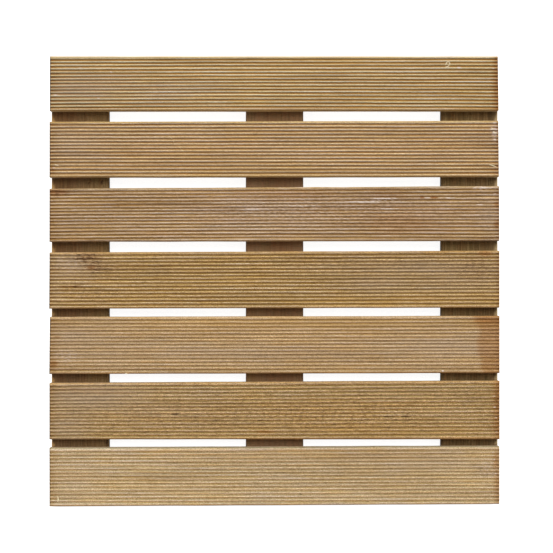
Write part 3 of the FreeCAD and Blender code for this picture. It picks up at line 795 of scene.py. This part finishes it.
class Graph:
    """The nodes of a material or of the world, with a short call for each kind."""

    def __init__(self, owner):
        self.owner = owner
        owner.use_nodes = True
        self.tree = owner.node_tree
        self.tree.nodes.clear()

    def add(self, kind, inputs=None, **settings):
        node = self.tree.nodes.new(kind)
        for key, value in settings.items():
            setattr(node, key, value)
        for key, value in (inputs or {}).items():
            self.put(node.inputs[key], value)
        return node

    def put(self, socket, value):
        if isinstance(value, bpy.types.NodeSocket):
            self.tree.links.new(value, socket)
        else:
            socket.default_value = value

    def value(self, kind, inputs, **settings):
        return self.add(kind, inputs, **settings).outputs[0]

    def math(self, operation, first, second):
        return self.value("ShaderNodeMath", {0: first, 1: second}, operation=operation)

    def times(self, first, second):
        return self.math("MULTIPLY", first, second)

    def between(self, value, low, high, to_low=0.0, to_high=1.0):
        """The value as it goes from low to high, turned into a share from to_low to to_high."""
        inputs = {"Value": value, "From Min": low, "From Max": high, "To Min": to_low, "To Max": to_high}
        return self.value("ShaderNodeMapRange", inputs)

    def seen_directly(self):
        """1 where the camera, a reflection or a clear surface looks at the backdrop, and 0 for its light."""
        path = self.add("ShaderNodeLightPath")
        seen = self.math("MAXIMUM", path.outputs["Is Camera Ray"], path.outputs["Is Glossy Ray"])
        return self.math("MAXIMUM", seen, path.outputs["Is Transmission Ray"])


class Surface(Graph):
    """A material's nodes. Its colour is built up layer by layer."""

    def __init__(self, name):
        super().__init__(bpy.data.materials.new(name))
        self.colour = None
        self.shader = self.add("ShaderNodeBsdfPrincipled")
        self.add("ShaderNodeOutputMaterial", {"Surface": self.shader.outputs[0]})
        place = self.add("ShaderNodeTexCoord").outputs["Object"]
        self.place = self.value("ShaderNodeVectorMath", {0: place, "Scale": 1 / MM}, operation="SCALE")

    def stretch(self, scale, offset):
        """The place on the wood, squeezed by a scale for each axis and moved."""
        return self.value("ShaderNodeMapping", {0: self.place, "Location": offset, "Scale": scale})

    def noise(self, scale, offset, detail, roughness=0.5):
        inputs = {"Vector": self.stretch(scale, offset), "Scale": 1, "Detail": detail, "Roughness": roughness}
        return self.value("ShaderNodeTexNoise", inputs)

    def growth_rings(self, axis, place, apart, distortion):
        """Growth rings round an axis, so many millimetres apart."""
        inputs = {"Vector": place, "Scale": RING_SCALE / apart, "Distortion": distortion, "Detail": 2.0,
                  "Detail Scale": 0.6}
        settings = {"wave_type": "RINGS", "rings_direction": axis, "wave_profile": "SAW"}
        return self.add("ShaderNodeTexWave", inputs, **settings).outputs["Fac"]

    def field(self, name):
        return self.add("ShaderNodeAttribute", attribute_name=name).outputs["Fac"]

    def ragged(self, kind, rough, weight):
        """A mark's strength, with its border moved by a rough value."""
        return self.math("ADD", self.field(kind), self.times(rough, weight))

    def cover(self, share, colour, kind="MIX"):
        """Another colour over the surface's, as far as a share says."""
        inputs = {0: share, 6: self.colour, 7: colour}
        self.colour = self.add("ShaderNodeMix", inputs, data_type="RGBA", blend_type=kind).outputs[2]

    def tint(self, share, tint):
        """The surface's colour multiplied by a tint, as far as a share says."""
        self.cover(share, (*tint, 1.0), "MULTIPLY")

    def tint_both(self, value, middle, spread, tints, most=1.0):
        """The first tint where a value lies above a middle, and the second where it lies below."""
        for end, tint in zip((middle + spread, middle - spread), tints):
            self.tint(self.between(value, middle, end, 0.0, most), tint)

    def set_shader(self, values):
        for socket, value in values.items():
            self.put(self.shader.inputs[socket], value)

    def finish(self, noise, feel):
        """The material, with its roughness and relief after a noise, and its shine."""
        roughness, relief, shine = feel
        rough = self.between(noise, NOISE_LOW, NOISE_HIGH, *roughness)
        bump = self.add("ShaderNodeBump", {"Strength": 1.0, "Distance": relief * MM, "Height": noise})
        self.set_shader({"Base Color": self.colour, "Roughness": rough, "Specular IOR Level": shine,
                         "Normal": bump.outputs[0]})
        return self.owner


# Each surface's roughness at its noise's low and high values, its relief, and its shine
SLAT_FEEL = ((0.6, 0.8), 0.2, 0.15)
BATTEN_FEEL = ((0.65, 0.85), 0.3, 0.15)
FIBRE_FEEL = ((0.6, 0.8), 0.05, 0.15)
ZINC_FEEL = ((0.35, 0.55), 0.03, 0.5)

# The broad marks' colours, and how much of them shows at most
BROAD_MARKS = (("silver", paint(186, 168, 150)), ("gold", paint(178, 138, 66)))
BROAD_MOST = 0.4

# Areas strewn with dashes: at which values of their noise a dash starts and is full, and its colour. Then the
# noise's bends in a millimetre along each axis, and its move.
STREWN_MARKS = (("speckle", 0.50, 0.60, paint(80, 42, 28)), ("glint", 0.47, 0.38, paint(226, 210, 202)))
STREWN_SCALE = (0.27, 1.15, 1.15)
STREWN_MOVE = (7, 19, 0)

# Small marks: their colour, how much of it shows at most, and how far the grain breaks them up. Then their
# strength where one starts, and how much more makes it full.
SMALL_MARKS = (("dark", paint(76, 48, 30), 0.9, 2.4), ("pale", paint(236, 224, 216), 0.95, 2.0))
SMALL_START = 0.35
SMALL_RISE = 0.5

# Soaked wood: how far the grain moves its border, where it starts and is full, and its tint
SOAKED_MARKS = (("stain", 1.2, 0.75, 1.5, (0.82, 0.66, 0.50)), ("soaked", 1.6, 1.0, 1.5, (0.84, 0.70, 0.56)))

# Light and dark tints for tones, for the slats' hue and for the battens' hue
TONES = ((1.2, 1.2, 1.2), (0.8, 0.8, 0.8))
SLAT_HUES = ((1.06, 0.98, 0.76), (0.94, 0.98, 1.15))
BATTEN_HUES = ((1.03, 0.96, 0.93), (0.94, 1.0, 0.95))

# The slats' wood: tints for late wood and for the duskier ends, and the colours of its details
LATE_WOOD = (0.66, 0.5, 0.34)
DUSK = (0.78, 0.66, 0.45)
FLECK = paint(88, 62, 36)
FROST = paint(222, 206, 192)
END_BROWN_AND_SHADE = paint(112, 62, 30)
END_LINE_GREY = paint(54, 68, 62)
SAWN_WOOD = paint(168, 132, 88)
SAWN_RING = paint(112, 74, 40)
SAWN_PORE = paint(92, 62, 36)

# The slats' noises: bends in a millimetre along each axis, detail, roughness, and a move along Y
SLAT_NOISES = {
    "streak": ((0.028, 0.9, 1.8), 4.0, 0.62, 0), "lasting": ((0.0045, 0.8, 1.6), 2.0, 0.6, 0),
    "hue": ((0.02, 0.5, 0.9), 3.0, 0.6, 0), "broad": ((0.006, 0.07, 0.07), 3.0, 0.5, 0),
    "fibre": ((0.25, 1.5, 2.4), 3.0, 0.6, 0), "fleck": ((0.12, 0.9, 0.9), 2.0, 0.5, 0),
    "grain": ((0.8, 1.5, 1.5), 2.0, 0.6, 0), "frost": ((0.045, 0.8, 0.8), 4.0, 0.6, 50),
    "pores": ((1, 2.2, 2.2), 3.0, 0.6, 0),
}

# The battens' wood: its light and dark streaks, its fibres, and tints for olive and for painted
# shade on its sides and underside
BATTEN_LIGHT = paint(166, 138, 104)
BATTEN_DARK = paint(84, 62, 40)
BATTEN_FIBRE = paint(88, 66, 44)
OLIVE = (0.95, 1.02, 0.95)
SIDE_PAINTED_SHADE = (0.5, 0.46, 0.42)


def add_marks(graph, rough, crest=1.0):
    """The board's own marks over its colour, broken up by a rough value about 0.5."""
    graph.tint_both(graph.field("tone"), 0.0, 1.0, TONES)
    for kind, cover in BROAD_MARKS:
        graph.cover(graph.times(graph.field(kind), BROAD_MOST), cover)
    for kind, weight, start, full, tint in SOAKED_MARKS:
        graph.tint(graph.between(graph.ragged(kind, rough, weight), start, full), tint)
    specks = graph.noise(STREWN_SCALE, STREWN_MOVE, 1.0)
    for kind, low, high, cover in STREWN_MARKS:
        graph.cover(graph.times(graph.between(specks, low, high), graph.field(kind)), cover)
    for kind, cover, most, weight in SMALL_MARKS:
        start = weight / 2 + SMALL_START
        share = graph.between(graph.ragged(kind, rough, weight), start, start + SMALL_RISE, 0.0, most)
        if kind == "pale":
            share = graph.times(share, crest)
        graph.cover(share, cover)


def slat_wood(name, number, look):
    """Reeded softwood: growth rings cut by the board, fine fibres along it and browner grooves."""
    graph = Surface(name + "_wood")
    rings_place = graph.stretch((0.04, 1, 1), (0, 30.0 + 9 * number, 22.0 + 3 * number))
    rings = graph.growth_rings("X", rings_place, 2.6, 5.0)
    noises = {}
    for key, (scale, detail, roughness, move) in SLAT_NOISES.items():
        shift = (37.0 * number, 11.0 * number + move, 5.0 * number)
        noises[key] = graph.noise(scale, shift, detail, roughness)
    fibre, fleck = noises["fibre"], noises["fleck"]
    deep, top, sawn = graph.field("groove"), graph.field("top"), graph.field("sawn")
    crest = graph.math("SUBTRACT", 1.0, deep)

    graph.colour = paint(*look["crest"])
    graph.cover(deep, paint(*look["hollow"]))
    graph.tint_both(graph.field("lean"), 0.0, 0.8, (look["lit"], look["shade"]))
    # Painted shade on the far and near rims
    graph.tint_both(graph.field("rim"), 0.0, 0.8, (look["far_rim_shade"], NEAR_RIM_SHADE))
    late = graph.between(rings, 0.5, 0.95)
    graph.tint(graph.times(late, look["rings"]), LATE_WOOD)
    for key, spread, tints, most in (
            ("lasting", 0.18, STREAKS, 0.69 * look["streaks"]), ("hue", 0.18, SLAT_HUES, 1.0),
            ("streak", 0.25, STREAKS, 0.6 * look["streaks"]), ("broad", 0.2, STREAKS, 0.2),
            ("fibre", 0.22, STREAKS, 0.85 * look["fine"])):
        graph.tint_both(noises[key], 0.5, spread, tints, most)
    for end, most, tint in ((0.62, 1.5, STREAKS[0]), (0.38, 1.0, STREAKS[1])):
        speck = graph.times(top, most * look["fine"])
        graph.tint(graph.between(noises["grain"], 0.5, end, 0.0, speck), tint)
    graph.cover(graph.between(fleck, 0.6, 0.7, 0.0, look["flecks"]), FLECK)
    frost = graph.between(noises["frost"], 0.52, 0.68, 0.0, look["frost"])
    graph.cover(graph.times(frost, crest), FROST)
    add_marks(graph, fibre, crest)

    graph.tint(graph.field("dusk"), DUSK)
    # The ends browned, darker in the grooves with painted shade
    ended = graph.times(graph.field("end"), graph.between(fleck, 0.35, 0.6, 1.0, 0.4))
    graph.cover(graph.times(ended, 0.85), END_BROWN_AND_SHADE)
    graph.cover(graph.times(graph.field("end_line"), 0.95), END_LINE_GREY)
    graph.cover(graph.times(sawn, 0.6), SAWN_WOOD)
    graph.cover(graph.times(sawn, graph.between(rings, 0.3, 1.0, 0.0, 0.8)), SAWN_RING)
    pores = graph.between(noises["pores"], 0.5, 0.35, 0.0, 0.5)
    graph.cover(graph.times(sawn, pores), SAWN_PORE)
    return graph.finish(fibre, SLAT_FEEL)


def fibre_wood():
    """Bare torn fibre, pale and a little yellow."""
    graph = Surface("fibre_wood")
    tone = graph.noise((0.8, 0.8, 0.8), (0, 0, 0), 2.0)
    graph.colour = paint(228, 208, 160)
    graph.cover(graph.between(tone, 0.35, 0.65), paint(246, 234, 202))
    return graph.finish(tone, FIBRE_FEEL)


def batten_wood(name, number):
    """Rougher softwood, browner than the slats, with its grain along Y."""
    graph = Surface(name + "_wood")
    shift = (13.0 * number, 51.0 * number, 7.0 * number)
    rings_place = graph.stretch((1, 0.04, 1), (11.0 * number, 0, 30.0))
    late = graph.between(graph.growth_rings("Y", rings_place, 3.0, 6.0), 0.5, 0.95)
    streak = graph.noise((0.55, 0.03, 0.55), shift, 4.0, 0.65)
    fibre = graph.noise((1.3, 0.2, 1.3), shift, 3.0, 0.6)
    hue = graph.noise((0.16, 0.03, 0.16), shift, 3.0, 0.6)
    look = BATTENS[name]
    graph.colour = paint(*look["light"])
    graph.cover(graph.times(late, 0.5 * look["lines"]), paint(*look["dark"]))
    for value, end, most, cover in ((streak, 0.72, 0.6, BATTEN_LIGHT), (streak, 0.28, 0.7, BATTEN_DARK),
                                    (fibre, 0.3, 0.6, BATTEN_FIBRE)):
        graph.cover(graph.between(value, 0.5, end, 0.0, most * look["lines"]), cover)
    graph.tint_both(hue, 0.5, 0.16, BATTEN_HUES)
    add_marks(graph, fibre)
    across = graph.value("ShaderNodeSeparateXYZ", {0: graph.place})
    graph.tint(graph.between(across, *look["olive"]), OLIVE)
    # Painted light on the edges
    graph.cover(graph.times(graph.field("worn_and_lit"), 0.85), paint(*look["worn_and_lit"]))
    # Painted shade on the sides and underside
    graph.tint(graph.field("side"), SIDE_PAINTED_SHADE)
    return graph.finish(fibre, BATTEN_FEEL)


def staple_metal():
    """Galvanised wire, a little dull."""
    graph = Surface("staple_zinc")
    stain = graph.noise((0.8, 0.8, 0.8), (0, 0, 0), 4.0)
    graph.colour = paint(178, 180, 182)
    graph.cover(graph.between(stain, 0.4, 0.7), paint(140, 140, 138))
    graph.set_shader({"Metallic": 1.0})
    return graph.finish(stain, ZINC_FEEL)


# Floor, light and camera

WHITE = (1, 1, 1, 1)

# The floor: half its size, its height, colour and roughness, and how far it is lifted to white
FLOOR_HALF = 6000.0
FLOOR_HEIGHT = -0.2
FLOOR_GREY = (0.8, 0.8, 0.8, 1)
FLOOR_ROUGHNESS = 0.9
FLOOR_LIFT = 0.9

# The lamp: its strength, how wide it is in degrees, its colour, and the direction it shines from
LAMP_STRENGTH = 3.3
LAMP_WIDTH = 65
LAMP_COLOUR = (1.0, 0.97, 0.93)
LAMP_FROM = (0.1, 0.88, 1.0)

# The surround's own light on the tile
SURROUND_COLOUR = (0.96, 0.98, 1.0, 1)
SURROUND_STRENGTH = 0.2


def make_floor():
    """A wide white floor. Seen directly it is lifted nearly to white, and it keeps the tile's soft shadow."""
    size, height = FLOOR_HALF * MM, FLOOR_HEIGHT * MM
    corners = [(x * size, y * size, height) for x, y in ((-1, -1), (1, -1), (1, 1), (-1, 1))]
    mesh = bpy.data.meshes.new("floor")
    mesh.from_pydata(corners, [], [(0, 1, 2, 3)])
    floor = new_object("floor", mesh)
    graph = Surface("floor_white")
    lift = graph.times(graph.seen_directly(), FLOOR_LIFT)
    graph.set_shader({"Base Color": FLOOR_GREY, "Roughness": FLOOR_ROUGHNESS, "Specular IOR Level": 0.0,
                      "Emission Color": WHITE, "Emission Strength": lift})
    mesh.materials.append(graph.owner)


def make_light():
    """A broad soft lamp from the far side, and an even white surround."""
    lamp = bpy.data.lights.new("key", "SUN")
    lamp.energy = LAMP_STRENGTH
    lamp.angle = math.radians(LAMP_WIDTH)
    lamp.color = LAMP_COLOUR
    key = new_object("key", lamp)
    key.rotation_euler = Vector(LAMP_FROM).to_track_quat("Z", "Y").to_euler()

    world = bpy.data.worlds.new("surround")
    bpy.context.scene.world = world
    graph = Graph(world)
    light = graph.value("ShaderNodeBackground", {"Color": SURROUND_COLOUR, "Strength": SURROUND_STRENGTH})
    white = graph.value("ShaderNodeBackground", {"Color": WHITE})
    choice = graph.value("ShaderNodeMixShader", {0: graph.seen_directly(), 1: light, 2: white})
    graph.add("ShaderNodeOutputWorld", {"Surface": choice})


def make_camera():
    camera = bpy.data.cameras.new("camera")
    camera.sensor_width = SENSOR
    camera.lens = SENSOR * (CAMERA_HEIGHT - TILE_TOP) / VIEW_WIDTH
    camera.clip_start, camera.clip_end = NEAREST_SEEN * MM, FARTHEST_SEEN * MM
    eye = new_object("camera", camera)
    eye.location = (CAMERA_X * MM, CAMERA_Y * MM, CAMERA_HEIGHT * MM)
    bpy.context.scene.camera = eye


for number, (name, look) in enumerate(SLATS.items(), start=1):
    make_slat(number, name, look)
for number, name in enumerate(BATTENS, start=1):
    make_batten(name, number)
make_fibres()
make_staples()
make_floor()
make_light()
make_camera()
bpy.context.scene.view_settings.view_transform = "Standard"
